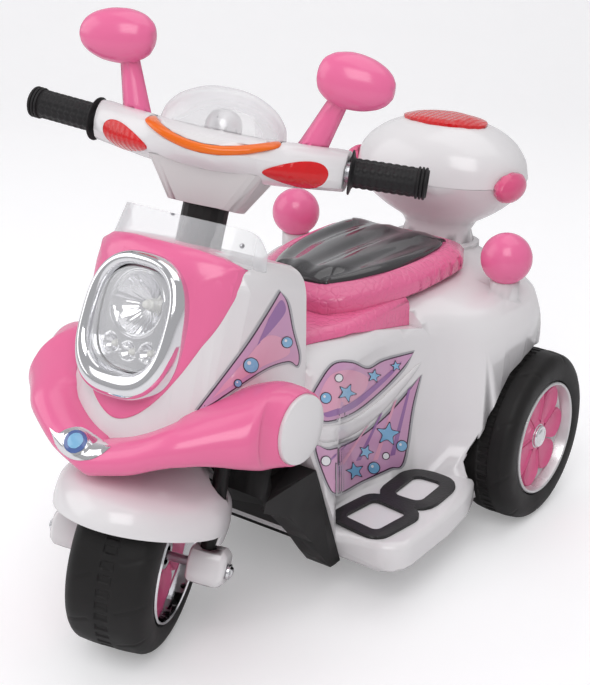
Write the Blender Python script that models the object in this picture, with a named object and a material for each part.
"""Three-wheeled electric ride-on motorcycle for a small child.

Units are metres and +Z is up. The vehicle faces -Y, so the rider's left hand is on the +X side.
The origin lies on the ground under the middle of the vehicle.

The steering axis leans back. Everything that steers, and the front cowl that is built round it,
is drawn in a raked frame: x to the rider's left, y backwards, z up along the steering axis, with
zero at HEAD. The steering parts hang from an empty that is turned by STEER_REST, so the handlebar
rests turned a little to the rider's left.
"""

import math

import bmesh
import bpy
from mathutils import Matrix, Vector

# Overall layout
GAP = 0.0003  # left between pieces that touch
WALL = 0.0032  # moulded shells
WHEEL_R = 0.105
FRONT_AXLE_Y = -0.271
FRONT_AXLE_Z = 0.1062  # the turned wheel leans and stands on its shoulder
REAR_AXLE_Y = 0.223
HEAD = Vector((0.0, -0.223, 0.300))
RAKE = math.radians(20.0)
STEER_REST = math.radians(21.5)

# Wheels
FRONT_TYRE_HALF = 0.0450
RIM_R = 0.0706
REAR_TYRE_IN = 0.1470
REAR_TYRE_OUT = 0.2130
AXLE_R = 0.0050
REAR_SPOKES = 7
FRONT_SPOKES = 5

# Body
BODY_BASE_Z = 0.0570
BODY_TOP_Z = 0.3000
WAIST_Z = 0.1500
DECK_Z = 0.3030  # flat plinth that carries the seat and the tail box
SADDLE_FRONT_Z = 0.2960  # floor of the recess ahead of it, which slopes down to the back
SADDLE_REAR_Z = 0.2730
SADDLE_BEND_Y = -0.0350
SADDLE_BACK_Y = 0.0740
SADDLE_TOP_Z = 0.3070
ARCH_R = 0.1165
ARCH_IN = 0.1380
STEP_TOP_Z = 0.0850
STEP_BASE_Z = 0.0500
FRONT_SLOPE = math.radians(21.0)
FRONT_FOOT_Y = -0.0905
FRONT_FOOT_Z = 0.0700
COWL_BACK_Y = -0.1270
COWL_FLOOR_Z = 0.2350

# Chassis
PAN_BASE_Z = 0.0450
PAN_TOP_Z = 0.0530
PAN_HALF = 0.0960
PAN_FRONT_Y = -0.0740
PLATE_IN = 0.0840
UPRIGHT_HALF = 0.0860
LEG_PLATE_HALF = 0.1160
SWEEP_R = 0.1240  # room in which the front wheel and its mudguard turn
HEAD_TUBE_R = 0.0210
STEERER_R = 0.0110
BUSH_WALL = 0.0022
HEAD_TUBE_LOW = -0.0730
HEAD_TUBE_TOP = 0.0980
RUNNING = 0.0003  # radial clearance of a turning fit

# Seat
SEAT_FRONT_Y = -0.0100
SEAT_BACK_Y = 0.2080
SEAT_BASE_TOP_Z = 0.3320
SEAT_MARGIN = 0.0230

# Tail box
TAIL_Y = 0.3040
TAIL_SEAM_Z = 0.3900
TAIL_HALF_X = 0.1130
TAIL_HALF_Y = 0.0800
TAIL_TOP = 0.0670
TAIL_LENS_HALF_X = 0.0570
TAIL_LENS_HALF_Y = 0.0360
HINGE_Y = TAIL_Y - TAIL_HALF_Y - 0.0042
HINGE_R = 0.0046
HINGE_PIN_R = 0.0020
SIDE_LENS_Y = TAIL_Y - 0.0210
SIDE_LENS_HALF_X = 0.0160
SIDE_LENS_HALF_Y = 0.0310
SIDE_LENS_HALF_Z = 0.0190
SIDE_LENS_SWING = 0.0036  # how far its lower edge moves back as the lid opens
BALL_R = 0.0305
BALL_X = 0.1520
BALL_Y = 0.2010
BALL_Z = 0.3300

# Cowl, in the raked frame
COWL_HALF = 0.0960
COWL_FRONT = 0.0740
COWL_POWER = 2.6
COWL_LOW = -0.0760
COWL_TOP = 0.1220
COLUMN_R = 0.0235
BEZEL_HALF_X = 0.0580
BEZEL_HALF_Z = 0.0680
BEZEL_Z = 0.0400
BEZEL_RING = 0.0140
DEFLECTOR_HALF = 0.0910
DEFLECTOR_FRONT = 0.0640
DEFLECTOR_FOOT = 0.1100
DEFLECTOR_H = 0.0400

# Bumper
BUMPER_FRONT_Y = -0.3340
BUMPER_FRONT_Z = 0.2395
CAP_X = 0.1520
CAP_Y = -0.2150
CAP_Z = 0.2680
CAP_R = 0.0370
PLUG_R = 0.0332

# Drive and switches
GEAR_BOSS_R = 0.0200
BEARING_X = (0.0700, 0.0860)
GEARBOX_X = (-0.1330, -0.0920)
MOTOR_Y = 0.168
MOTOR_Z = 0.150
MOTOR_R = 0.0180
BATTERY_HALF = (0.0350, 0.0500)
BATTERY_Y = 0.0700
BATTERY_H = 0.0700
SWITCH_X = 0.0380
SWITCH_Y = -0.0820
SWITCH_HALF_X = 0.0095
SWITCH_HALF_Y = 0.0065

# Foot pads: centre, half sizes, width of the band, corner and turn of each of the two frames
PAD_FRAMES = (
    ((0.1330, -0.0380), (0.0390, 0.0420), 0.0150, 0.0200, math.radians(-8.0)),
    ((0.1385, 0.0440), (0.0360, 0.0460), 0.0180, 0.0280, math.radians(2.0)),
)
PEDAL_Y = 0.0930
PEDAL_Z = STEP_TOP_Z + 0.0045
PEDAL_BASE_Z = STEP_TOP_Z + 0.0085
PAD_THICK = 0.0040

# Steering set, in the raked frame
AXLE_OFFSET = (FRONT_AXLE_Y - HEAD.y) * math.cos(RAKE) - (FRONT_AXLE_Z - HEAD.z) * math.sin(RAKE)
AXLE_DROP = (FRONT_AXLE_Y - HEAD.y) * math.sin(RAKE) + (FRONT_AXLE_Z - HEAD.z) * math.cos(RAKE)
CROWN_TOP = -0.0766
CROWN_BASE = -0.0866
SWEEP_TOP = -0.0745
LEG_X = 0.0720
LEG_R = 0.0085
FENDER_RIM = -0.1570
FENDER_TOP = -0.0869
FENDER_HALF = 0.0900
FENDER_NOSE = 0.1140
FENDER_BACK = 0.1100
FENDER_END = 0.0340
NECK_LOW = 0.1630
NECK_TOP = 0.1900
NECK_HALF_LOW = 0.0360
NECK_HALF_TOP = 0.0600
BAR_R = 0.0100
BAR_Y = 0.0106
BAR_Z = 0.2252
BAR_SWEEP = math.radians(6.9)
BAR_LIFT = math.radians(3.4)
GRIP_IN_X = 0.1335
GRIP_OUT_X = 0.2090
GRIP_R = 0.0145
GRIP_FLANGE_R = 0.0226
HEADSET_HALF = 0.1300
MIRROR_X = 0.1239
MIRROR_Y = -0.0079
MIRROR_Z = 0.3103
STRIP_Z = 0.2165
STRIP_RISE = 0.0205
STRIP_HALF = 0.0680
STRIP_THICK = 0.0090
DOME_X = 0.0670
DOME_BASE = 0.2385
DOME_RISE = 0.0440
DOME_Y = 0.0020
BUTTON_X = 0.0450
BUTTON_R = 0.0070
BUTTON_Z = 0.2230
BUTTON_Y = 0.0360
AXLE_HALF = 0.0978
AXLE_NUT_X = 0.0950
AXLE_NUT_R = 0.0085
END_COVER_X = 0.0945

COLOURS = {
    "white": ((0.86, 0.85, 0.87), 0.22, 0.0),
    "grey white": ((0.72, 0.70, 0.70), 0.35, 0.0),
    "pink": ((0.90, 0.20, 0.42), 0.20, 0.0),
    "black": ((0.015, 0.015, 0.016), 0.55, 0.0),
    "rubber": ((0.022, 0.021, 0.022), 0.75, 0.0),
    "gloss black": ((0.020, 0.020, 0.024), 0.12, 0.0),
    "chrome": ((0.80, 0.80, 0.82), 0.08, 1.0),
    "steel": ((0.42, 0.42, 0.44), 0.35, 1.0),
    "clear": ((0.90, 0.92, 0.94), 0.05, 0.0),
    "red": ((0.75, 0.02, 0.03), 0.12, 0.0),
    "orange": ((0.95, 0.25, 0.01), 0.15, 0.0),
    "nylon": ((0.75, 0.73, 0.66), 0.50, 0.0),
    "blue": ((0.08, 0.12, 0.30), 0.40, 0.0),
}


# Thin shells whose inner and outer forms run close together, where the exact solver loses faces
CLOSE_FORMS = ("body_shell", "body_hollow", "chassis_base")


def clear_scene():
    """Remove every object that the file opened with."""
    for old in list(bpy.data.objects):
        bpy.data.objects.remove(old, do_unlink=True)


def finish(name):
    """The named finish as a material of its own."""
    colour, roughness, metallic = COLOURS[name]
    material = bpy.data.materials.new(name)
    material.use_nodes = True
    shader = material.node_tree.nodes["Principled BSDF"]
    shader.inputs["Base Color"].default_value = (*colour, 1.0)
    shader.inputs["Roughness"].default_value = roughness
    shader.inputs["Metallic"].default_value = metallic
    material.diffuse_color = (*colour, 1.0)
    return material


def empty(name, matrix, parent=None):
    """A frame that pieces hang from."""
    frame = bpy.data.objects.new(name, None)
    bpy.context.collection.objects.link(frame)
    frame.parent = parent
    frame.matrix_local = matrix
    return frame


def place(name, shape, colour, parent=None, at=(0.0, 0.0, 0.0), sharp=35.0):
    """Turn a bmesh into an object with its material; `at` is the object's origin in its parent."""
    bmesh.ops.translate(shape, verts=shape.verts, vec=-Vector(at))
    bmesh.ops.recalc_face_normals(shape, faces=shape.faces)
    mesh = bpy.data.meshes.new(name)
    shape.to_mesh(mesh)
    shape.free()
    mesh.shade_smooth()
    mesh.set_sharp_from_angle(angle=math.radians(sharp))
    piece = bpy.data.objects.new(name, mesh)
    bpy.context.collection.objects.link(piece)
    piece.parent = parent
    piece.location = at
    if colour:
        mesh.materials.append(finish(colour))
    return piece


def tool(name, shape, parent=None):
    """A guide shape for a Boolean, left out of the model."""
    guide = place(name, shape, None, parent)
    guide.hide_render = True
    guide.display_type = "WIRE"
    return guide


def boolean(piece, guide, operation="DIFFERENCE"):
    """Cut, join or intersect `piece` with a guide shape."""
    step = piece.modifiers.new(operation.lower(), "BOOLEAN")
    step.operation = operation
    step.object = guide
    step.solver = "MANIFOLD" if piece.name in CLOSE_FORMS else "EXACT"
    return piece


def cut(piece, *shapes, parent=None):
    """Subtract each shape from the piece."""
    for count, shape in enumerate(shapes):
        label = f"{piece.name}_cut_{len(piece.modifiers)}_{count}"
        boolean(piece, tool(label, shape, parent or piece.parent))
    return piece


def join(piece, *shapes, parent=None):
    """Fuse each shape to the piece."""
    for count, shape in enumerate(shapes):
        label = f"{piece.name}_join_{len(piece.modifiers)}_{count}"
        boolean(piece, tool(label, shape, parent or piece.parent), "UNION")
    return piece


def keep(piece, shape, parent=None):
    """Keep only what lies inside the shape."""
    label = f"{piece.name}_keep_{len(piece.modifiers)}"
    return boolean(piece, tool(label, shape, parent or piece.parent), "INTERSECT")


def power(value, exponent):
    """Signed power, for superellipses."""
    return math.copysign(abs(value) ** exponent, value)


def oval(half_a, half_b, count, exponent=2.0, back_b=None):
    """Points round a superellipse; `back_b` is the half size on the +b side where it differs."""
    points = []
    for step in range(count):
        turn = math.tau * step / count
        a = half_a * power(math.cos(turn), 2.0 / exponent)
        b = power(math.sin(turn), 2.0 / exponent)
        b *= back_b if back_b is not None and b > 0 else half_b
        points.append((a, b))
    return points


def loft(rings):
    """A closed solid through rings of equally many points, capped at both ends."""
    shape = bmesh.new()
    rows = [[shape.verts.new(point) for point in ring] for ring in rings]
    count = len(rows[0])
    for low, high in zip(rows, rows[1:]):
        for i in range(count):
            j = (i + 1) % count
            shape.faces.new((low[i], low[j], high[j]))
            shape.faces.new((low[i], high[j], high[i]))
    shape.faces.new(list(reversed(rows[0])))
    shape.faces.new(rows[-1])
    bmesh.ops.recalc_face_normals(shape, faces=shape.faces)
    return shape


def revolve(profile, centre=(0.0, 0.0, 0.0), axis="X", count=32):
    """Turn a closed profile of (along, radius) about an axis through `centre`.

    A profile whose first and last points have no radius closes on the axis; any other becomes
    a ring.
    """
    shape = bmesh.new()
    centre = Vector(centre)
    rows = []
    for along, radius in profile:
        if radius < 1e-7:
            rows.append([shape.verts.new(centre + spin_point(axis, along, 0.0, 0.0))])
            continue
        row = []
        for step in range(count):
            turn = math.tau * step / count
            row.append(shape.verts.new(centre + spin_point(axis, along, radius, turn)))
        rows.append(row)
    pairs = list(zip(rows, rows[1:]))
    if len(rows[0]) > 1:
        pairs.append((rows[-1], rows[0]))
    for low, high in pairs:
        for i in range(count):
            j = (i + 1) % count
            corners = [low[i % len(low)], low[j % len(low)], high[j % len(high)], high[i % len(high)]]
            unique = list(dict.fromkeys(corners))
            if len(unique) > 2:
                shape.faces.new(unique)
    bmesh.ops.recalc_face_normals(shape, faces=shape.faces)
    return shape


def spin_point(axis, along, radius, turn):
    """A point of a revolved profile."""
    c, s = radius * math.cos(turn), radius * math.sin(turn)
    if axis == "X":
        return Vector((along, c, s))
    if axis == "Y":
        return Vector((s, along, c))
    return Vector((c, s, along))


def rod(radius, start, end, centre=(0.0, 0.0), axis="X", count=16):
    """A plain cylinder along one axis; `centre` holds its two other coordinates in order."""
    middle = {"X": (0.0, *centre), "Y": (centre[0], 0.0, centre[1]), "Z": (*centre, 0.0)}[axis]
    return revolve([(start, 0.0), (start, radius), (end, radius), (end, 0.0)], middle, axis, count)


def block(low, high):
    """An axis-aligned box between two corners."""
    (x0, y0, z0), (x1, y1, z1) = low, high
    corners = [(x0, y0), (x1, y0), (x1, y1), (x0, y1)]
    return loft([[(x, y, z) for x, y in corners] for z in (z0, z1)])


def prism(outline, low, high, axis="Z"):
    """Extrude an outline along an axis; outline pairs are the two other coordinates in order."""
    def lift(pair, along):
        if axis == "X":
            return (along, *pair)
        if axis == "Y":
            return (pair[0], along, pair[1])
        return (*pair, along)

    return loft([[lift(pair, along) for pair in outline] for along in (low, high)])


def rounded(half_a, half_b, radius, centre=(0.0, 0.0), per_corner=4):
    """The outline of a rectangle with round corners."""
    points = []
    for quarter in range(4):
        turn = math.pi / 2 * quarter
        ca = (half_a - radius) * (1 if quarter in (0, 3) else -1)
        cb = (half_b - radius) * (1 if quarter in (0, 1) else -1)
        for step in range(per_corner + 1):
            angle = turn + math.pi / 2 * step / per_corner
            points.append((centre[0] + ca + radius * math.cos(angle),
                           centre[1] + cb + radius * math.sin(angle)))
    return points


def between(table, at):
    """Smooth interpolation of a table of (station, values...) rows."""
    if at <= table[0][0]:
        return table[0][1:]
    if at >= table[-1][0]:
        return table[-1][1:]
    last = len(table) - 1
    i = max(k for k in range(last) if table[k][0] <= at)
    t = (at - table[i][0]) / (table[i + 1][0] - table[i][0])
    before, start, end, after = (table[max(0, min(last, k))] for k in (i - 1, i, i + 1, i + 2))
    values = []
    for a, b, c, d in zip(before[1:], start[1:], end[1:], after[1:]):
        left = (c - a) / 2 if i > 0 else c - b
        right = (d - b) / 2 if i < last - 1 else c - b
        values.append((2 * t**3 - 3 * t**2 + 1) * b + (t**3 - 2 * t**2 + t) * left
                      + (3 * t**2 - 2 * t**3) * c + (t**3 - t**2) * right)
    return values


def spread(low, high, count):
    """Evenly spaced values from low to high."""
    return [low + (high - low) * i / (count - 1) for i in range(count)]


# Body shell

# y, half width at sill, waist and shoulder, shoulder height
BODY_STATIONS = [
    (-0.190, 0.1270, 0.1180, 0.1010, 0.262),
    (-0.115, 0.1270, 0.1180, 0.1060, 0.262),
    (-0.095, 0.1180, 0.1150, 0.1090, 0.265),
    (-0.070, 0.0880, 0.0990, 0.1090, 0.268),
    (-0.040, 0.0760, 0.0910, 0.1080, 0.270),
    (0.000, 0.0790, 0.0920, 0.1070, 0.270),
    (0.045, 0.0920, 0.1000, 0.1100, 0.266),
    (0.084, 0.1010, 0.1080, 0.1230, 0.260),
    (0.100, 0.1430, 0.1480, 0.1420, 0.254),
    (0.112, 0.1740, 0.1790, 0.1580, 0.250),
    (0.130, 0.1800, 0.1900, 0.1700, 0.250),
    (0.160, 0.1830, 0.1920, 0.1800, 0.252),
    (0.200, 0.1840, 0.1920, 0.1870, 0.256),
    (0.240, 0.1780, 0.1860, 0.1830, 0.256),
    (0.275, 0.1540, 0.1600, 0.1600, 0.254),
    (0.305, 0.1110, 0.1150, 0.1180, 0.248),
    (0.326, 0.0540, 0.0580, 0.0600, 0.240),
]


def body_hull(grow):
    """The outer form of the body, or with a negative `grow` the form of its hollow."""
    rings = []
    last = BODY_STATIONS[-1][0]
    crown = BODY_TOP_Z + grow
    base = BODY_BASE_Z if grow >= 0 else BODY_BASE_Z - 0.02
    for y, sill, waist, shoulder, shoulder_z in BODY_STATIONS:
        side = [(sill + grow, base), (waist + grow, WAIST_Z)]
        for step in range(5):
            turn = math.pi / 2 * step / 4
            side.append(((shoulder + grow) * math.cos(turn) ** 0.55,
                         shoulder_z + (crown - shoulder_z) * math.sin(turn) ** 0.75))
        other = [(-x, z) for x, z in reversed(side[:-1])]
        rings.append([(x, min(y, last + grow), z) for x, z in side + other])
    return loft(rings)


def saddle_recess(grow):
    """Room above the sloping deck, which the seat pan's front block fills."""
    outline = [(-0.3, SADDLE_FRONT_Z - grow), (SADDLE_BEND_Y, SADDLE_FRONT_Z - grow),
               (SADDLE_BACK_Y + grow, SADDLE_REAR_Z - grow), (SADDLE_BACK_Y + grow, 0.4), (-0.3, 0.4)]
    return prism(outline, -0.3, 0.3, "X")


def step_outline(grow):
    """Plan of the left foot step."""
    corner = 0.030
    inner = 0.060 if grow >= 0 else 0.050
    points = [(inner, -0.088), (0.140, -0.088)]
    for step in range(5):
        turn = math.pi / 2 * step / 4
        points.append((0.164 + corner * math.sin(turn), -0.058 - corner * math.cos(turn)))
    points += [(0.194, 0.020), (0.188, 0.075), (0.176, 0.112), (0.158, 0.122), (inner, 0.122)]
    return [(x + grow * (1 if x > 0.1 else 0), y + grow * (1 if y > 0 else -1)) for x, y in points]


def step_form(side, grow):
    """One foot step: a slab with a softly rounded edge."""
    base = STEP_BASE_Z if grow >= 0 else STEP_BASE_Z - 0.02
    rows = ((grow - 0.004, base), (grow, base + 0.006), (grow, STEP_TOP_Z - 0.007 + grow),
            (grow - 0.0025, STEP_TOP_Z - 0.0015 + grow), (grow - 0.007, STEP_TOP_Z + grow))
    if grow < 0:
        rows = rows[1:]
        rows = ((grow, base),) + rows[1:]
    return loft([[(side * x, y, z) for x, y in step_outline(inset)] for inset, z in rows])


def front_planes(grow):
    """What is cut off the front of the body: ahead of the raked leg panel and of the cowl's back."""
    reach = 0.4
    run = Vector((0.0, -math.sin(FRONT_SLOPE), math.cos(FRONT_SLOPE)))
    foot = Vector((0.0, FRONT_FOOT_Y - grow, FRONT_FOOT_Z))
    low, high = foot - run * 0.3, foot + run * 0.4
    slope = prism([(low.y, low.z), (high.y, high.z), (high.y - reach, high.z), (low.y - reach, low.z)],
                  -reach, reach, "X")
    back = block((-reach, -reach, COWL_FLOOR_Z - grow), (reach, COWL_BACK_Y - grow, reach))
    return slope, back


def pan_form(grow):
    """The flat floor of the chassis."""
    right = [(PLATE_IN - 2 * grow, PAN_FRONT_Y), (PLATE_IN - 2 * grow, -0.1000), (PAN_HALF, -0.1000),
             (PAN_HALF, 0.0880), (0.1080, 0.1120), (0.1180, 0.1400), (0.1180, 0.2620), (0.1000, 0.2900)]
    outline = [(x + grow, y + (grow if y > 0 else -grow)) for x, y in right]
    return prism(outline + [(-x, y) for x, y in reversed(outline)], PAN_BASE_Z - grow, PAN_TOP_Z + grow)


def wheel_drum(radius, start, end):
    """A cylinder about the rear axle."""
    return rod(radius, start, end, (REAR_AXLE_Y, WHEEL_R), "X", 24)


def body_shell():
    """White main moulding: side panels, foot steps, rear mudguards and the seat deck, hollow below."""
    shell = place("body_shell", body_hull(0.0), "white")
    join(shell, step_form(1, 0.0), step_form(-1, 0.0))
    deck = prism(seat_outline(-0.006), BODY_TOP_Z - 0.02, DECK_Z)
    pedestal = prism([(x, y + TAIL_Y - 0.004) for x, y in oval(0.058, 0.034, 24, 2.6)],
                     BODY_TOP_Z - 0.02, DECK_Z)
    join(shell, deck, pedestal)
    for side in (1, -1):
        join(shell, rod(0.0175, BODY_TOP_Z - 0.03, DECK_Z, (side * BALL_X, BALL_Y), "Z", 24))
    cut(shell, saddle_recess(0.0), *front_planes(0.0))
    hollow = tool("body_hollow", body_hull(-WALL))
    join(hollow, step_form(1, -WALL), step_form(-1, -WALL))
    cut(hollow, saddle_recess(WALL), *front_planes(-WALL))
    for side in (1, -1):
        cut(hollow, wheel_drum(ARCH_R + WALL, *sorted((side * (ARCH_IN - WALL), side * 0.3))))
    boolean(shell, hollow)
    for side in (1, -1):
        cut(shell, wheel_drum(ARCH_R, *sorted((side * ARCH_IN, side * 0.3))))
    cut(shell, wheel_drum(AXLE_R + 0.003, 0.10, 0.16), wheel_drum(GEAR_BOSS_R + 0.002, -0.16, -0.10))
    return cut(shell, charge_bore(0.0082 + GAP), pan_form(GAP))


# Seat

# y, half width
SEAT_STATIONS = [
    (SEAT_FRONT_Y, 0.040),
    (0.030, 0.056),
    (0.080, 0.071),
    (0.130, 0.075),
    (0.180, 0.073),
    (SEAT_BACK_Y, 0.066),
]


def seat_outline(grow):
    """Plan of the seat: a narrow nose, swelling to the back, with round corners."""
    right = []
    for y in spread(SEAT_FRONT_Y, SEAT_BACK_Y, 9):
        (half,) = between(SEAT_STATIONS, y)
        squeeze = 0.010 if y in (SEAT_FRONT_Y, SEAT_BACK_Y) else 0.0
        reach = (y - (SEAT_FRONT_Y + SEAT_BACK_Y) / 2) / (SEAT_BACK_Y - SEAT_FRONT_Y) * 2
        right.append((half - squeeze + grow, y + grow * reach))
    return right + [(-x, y) for x, y in reversed(right)]


def saddle_block():
    """Front of the seat pan: fills the recess, from the cowl back to the step in the deck."""
    rings = []
    run = SADDLE_BACK_Y - SADDLE_BEND_Y
    for y, half in ((COWL_BACK_Y + GAP, 0.0620), (-0.0900, 0.0740), (SADDLE_BEND_Y, 0.0930),
                    (0.0200, 0.0970), (SADDLE_BACK_Y - GAP, 0.0990)):
        drop = max(0.0, (y - SADDLE_BEND_Y) / run) * (SADDLE_FRONT_Z - SADDLE_REAR_Z)
        floor = SADDLE_FRONT_Z - drop + GAP
        right = [(half, floor), (half - 0.0015, SADDLE_TOP_Z - 0.0060),
                 (half - 0.0060, SADDLE_TOP_Z - 0.0015), (half - 0.0120, SADDLE_TOP_Z)]
        rings.append([(x, y, z) for x, z in right + [(-x, z) for x, z in reversed(right)]])
    return loft(rings)


def seat_base():
    """Pink seat pan: a notched skirt that flares down to the deck, and a deeper front block."""
    floor = DECK_Z + GAP
    rows = ((SEAT_MARGIN - 0.004, floor), (SEAT_MARGIN, floor + 0.004), (SEAT_MARGIN, floor + 0.016),
            (SEAT_MARGIN - 0.004, floor + 0.022), (SEAT_MARGIN - 0.014, SEAT_BASE_TOP_Z))
    pan = place("seat_base", loft([[(x, y, z) for x, y in seat_outline(grow)] for grow, z in rows]),
                "pink")
    join(pan, saddle_block())
    for side in (1, -1):
        for y in spread(0.100, 0.190, 5):
            (half,) = between(SEAT_STATIONS, y)
            centre = (side * (half + SEAT_MARGIN + 0.0025), y)
            cut(pan, rod(0.0045, floor + 0.004, floor + 0.019, centre, "Z", 6))
    dish = loft([[(x, y, z) for x, y in seat_outline(grow)]
                 for grow, z in ((0.0005, SEAT_BASE_TOP_Z - 0.004), (0.0005, SEAT_BASE_TOP_Z + 0.01))])
    hollow = loft([[(x, y, z) for x, y in seat_outline(grow)]
                   for grow, z in ((SEAT_MARGIN - 0.022, SADDLE_REAR_Z - 0.01),
                                   (SEAT_MARGIN - 0.026, SEAT_BASE_TOP_Z - 0.008))])
    cut(pan, dish, hollow)
    for x in (SWITCH_X, -SWITCH_X):
        half_x, half_y = SWITCH_HALF_X + 2 * GAP, SWITCH_HALF_Y + 2 * GAP
        cut(pan, block((x - half_x, SWITCH_Y - half_y, SADDLE_TOP_Z - 0.0060),
                       (x + half_x, SWITCH_Y + half_y, SEAT_BASE_TOP_Z)))
    return pan


def seat_top():
    """Glossy black saddle with flowing ridges, in a shallow dish of the pan."""
    base = SEAT_BASE_TOP_Z - 0.004 + GAP
    rings = []
    for grow, z in ((-0.0002, base), (-0.0002, base + 0.0060)):
        rings.append([Vector((x, y, z)) for x, y in seat_outline(grow)])
    middle = (SEAT_FRONT_Y + SEAT_BACK_Y) / 2
    for shrink, rise in ((0.96, 0.0080), (0.86, 0.0100), (0.66, 0.0118), (0.40, 0.0112), (0.15, 0.0105)):
        ring = []
        for x, y in seat_outline(0.0):
            wave = 0.0018 * math.sin(3.2 * x / 0.02 + y / 0.03) * (1.0 - shrink**6)
            edge = 0.006 * ((y - middle) / 0.11) ** 2
            ring.append(Vector((x * shrink, middle + (y - middle) * shrink, base + rise + wave + edge)))
        rings.append(ring)
    return place("seat_top", loft(rings), "gloss black")


# Tail box

def tail_form(rows, grow=0.0):
    """Stacked superellipses about the tail box's centre; rows of (height, x share, y share)."""
    rings = []
    for z, share_x, share_y in rows:
        plan = oval(TAIL_HALF_X * share_x + grow, TAIL_HALF_Y * share_y + grow, 20, 2.25)
        rings.append([(x, TAIL_Y + y, z) for x, y in plan])
    return loft(rings)


def lid_rows(grow=0.0, base=None):
    """Profile of the lid, a flattened dome."""
    rows = [(TAIL_SEAM_Z + GAP if base is None else base, 1.0, 1.0)]
    for degrees in (16, 32, 48, 62, 76):
        turn = math.radians(degrees)
        rows.append((TAIL_SEAM_Z + GAP + (TAIL_TOP + grow) * math.sin(turn) ** 0.95,
                     math.cos(turn) ** 0.85, math.cos(turn) ** 0.85))
    return rows


def tub_rows(base):
    """Profile of the lower tub, from its foot to the seam."""
    return [(base, 0.44, 0.36), (base + 0.014, 0.40, 0.34), (base + 0.026, 0.46, 0.42),
            (base + 0.040, 0.66, 0.64), (base + 0.056, 0.84, 0.82), (base + 0.074, 0.955, 0.95),
            (TAIL_SEAM_Z, 1.0, 1.0)]




def knuckle(start, end):
    """A hinge barrel in front of the seam."""
    return rod(HINGE_R, start, end, (HINGE_Y, TAIL_SEAM_Z), "X", 16)


def tail_box_lower():
    """White tub of the tail box with its foot, open at the top."""
    foot = DECK_Z + GAP
    tub = place("tail_box_lower", tail_form(tub_rows(foot)), "white")
    for x in (-0.024, 0.012):
        join(tub, knuckle(x, x + 0.012), block((x, HINGE_Y, TAIL_SEAM_Z - 0.010),
                                               (x + 0.012, HINGE_Y + 0.012, TAIL_SEAM_Z - 0.001)))
    inside = [(foot + 0.046, 0.64, 0.60), (foot + 0.056, 0.80, 0.77), (foot + 0.074, 0.93, 0.915),
              (TAIL_SEAM_Z, 0.975, 0.965), (TAIL_SEAM_Z + 0.01, 0.975, 0.965)]
    cut(tub, tail_form(inside))
    cut(tub, rod(HINGE_PIN_R + 0.0001, -0.03, 0.03, (HINGE_Y, TAIL_SEAM_Z), "X", 12))
    cut(tub, rod(HINGE_R + 0.0006, -0.0122, 0.0122, (HINGE_Y, TAIL_SEAM_Z), "X", 16))
    return tub


def tail_box_lid(hinge):
    """White domed lid, hinged along its front edge, with a finger lip at the back."""
    at = (0.0, HINGE_Y, TAIL_SEAM_Z)
    lid = place("tail_box_lid", tail_form(lid_rows()), "white", None, at)
    back = TAIL_Y + TAIL_HALF_Y
    catch = ((0.018, 0.010, TAIL_SEAM_Z + GAP), (0.015, 0.007, TAIL_SEAM_Z + 0.010))
    join(lid, loft([[(x, back - 0.006 + y, z) for x, y in oval(a, b, 12, 2.5)] for a, b, z in catch]))
    join(lid, knuckle(-0.0115, 0.0115),
         block((-0.0115, HINGE_Y, TAIL_SEAM_Z + 0.001), (0.0115, HINGE_Y + 0.012, TAIL_SEAM_Z + 0.010)))
    rows = [(TAIL_SEAM_Z - 0.01, 1.0, 1.0)] + lid_rows()
    inside = [(z - (0.003 if z > TAIL_SEAM_Z + 0.001 else 0.0), a, b) for z, a, b in rows]
    cut(lid, tail_form(inside, -WALL))
    cut(lid, rod(HINGE_PIN_R + RUNNING, -0.03, 0.03, (HINGE_Y, TAIL_SEAM_Z), "X", 12))
    lid.parent = hinge
    lid.location = (0.0, 0.0, 0.0)
    return lid


def tail_lenses(hinge):
    """Red top lens and pink side lenses, which ride on the lid."""
    offset = (0.0, HINGE_Y, TAIL_SEAM_Z)
    top = place("tail_box_top_lens", tail_form(lid_rows(0.0045)), "red", None, offset)
    plan = [(x, TAIL_Y + 0.004 + y) for x, y in oval(TAIL_LENS_HALF_X, TAIL_LENS_HALF_Y, 20)]
    keep(top, prism(plan, TAIL_SEAM_Z + 0.03, TAIL_SEAM_Z + 0.1))
    cut(top, tail_form([(TAIL_SEAM_Z - 0.01, 1.0, 1.0)]
                       + [(z + GAP, a, b) for z, a, b in lid_rows()], GAP))
    lenses = [top]
    widest = oval(TAIL_HALF_X + GAP, TAIL_HALF_Y + GAP, 20, 2.25)
    rim = prism([(x, TAIL_Y + y) for x, y in widest], TAIL_SEAM_Z - 0.05, TAIL_SEAM_Z + 0.05)
    rim_tool = tool("tail_lens_rim", rim)
    swing = prism([(x, TAIL_Y - SIDE_LENS_SWING + y) for x, y in widest], TAIL_SEAM_Z - 0.05, TAIL_SEAM_Z)
    swing_tool = tool("tail_lens_swing", swing)
    for name, side in (("left", 1), ("right", -1)):
        rings = []
        for degrees in (-78, -50, -25, 0, 25, 50, 78):
            turn = math.radians(degrees)
            section = oval(SIDE_LENS_HALF_X * math.cos(turn), SIDE_LENS_HALF_Z * math.cos(turn), 12)
            y = SIDE_LENS_Y + SIDE_LENS_HALF_Y * math.sin(turn)
            rings.append([(side * (TAIL_HALF_X - 0.004 + x), y, TAIL_SEAM_Z + z) for x, z in section])
        lens = place(f"tail_side_lens_{name}", loft(rings), "pink", None, offset)
        boolean(lens, rim_tool)
        boolean(lens, swing_tool)
        lenses.append(lens)
    for lens in lenses:
        lens.parent = hinge
        lens.location = (0.0, 0.0, 0.0)
    return lenses


def tail_box_hinge_pin():
    """Steel pin through both hinge barrels."""
    return place("tail_box_hinge_pin",
                 rod(HINGE_PIN_R, -0.0245, 0.0245, (HINGE_Y, TAIL_SEAM_Z), "X", 12), "steel")


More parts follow.
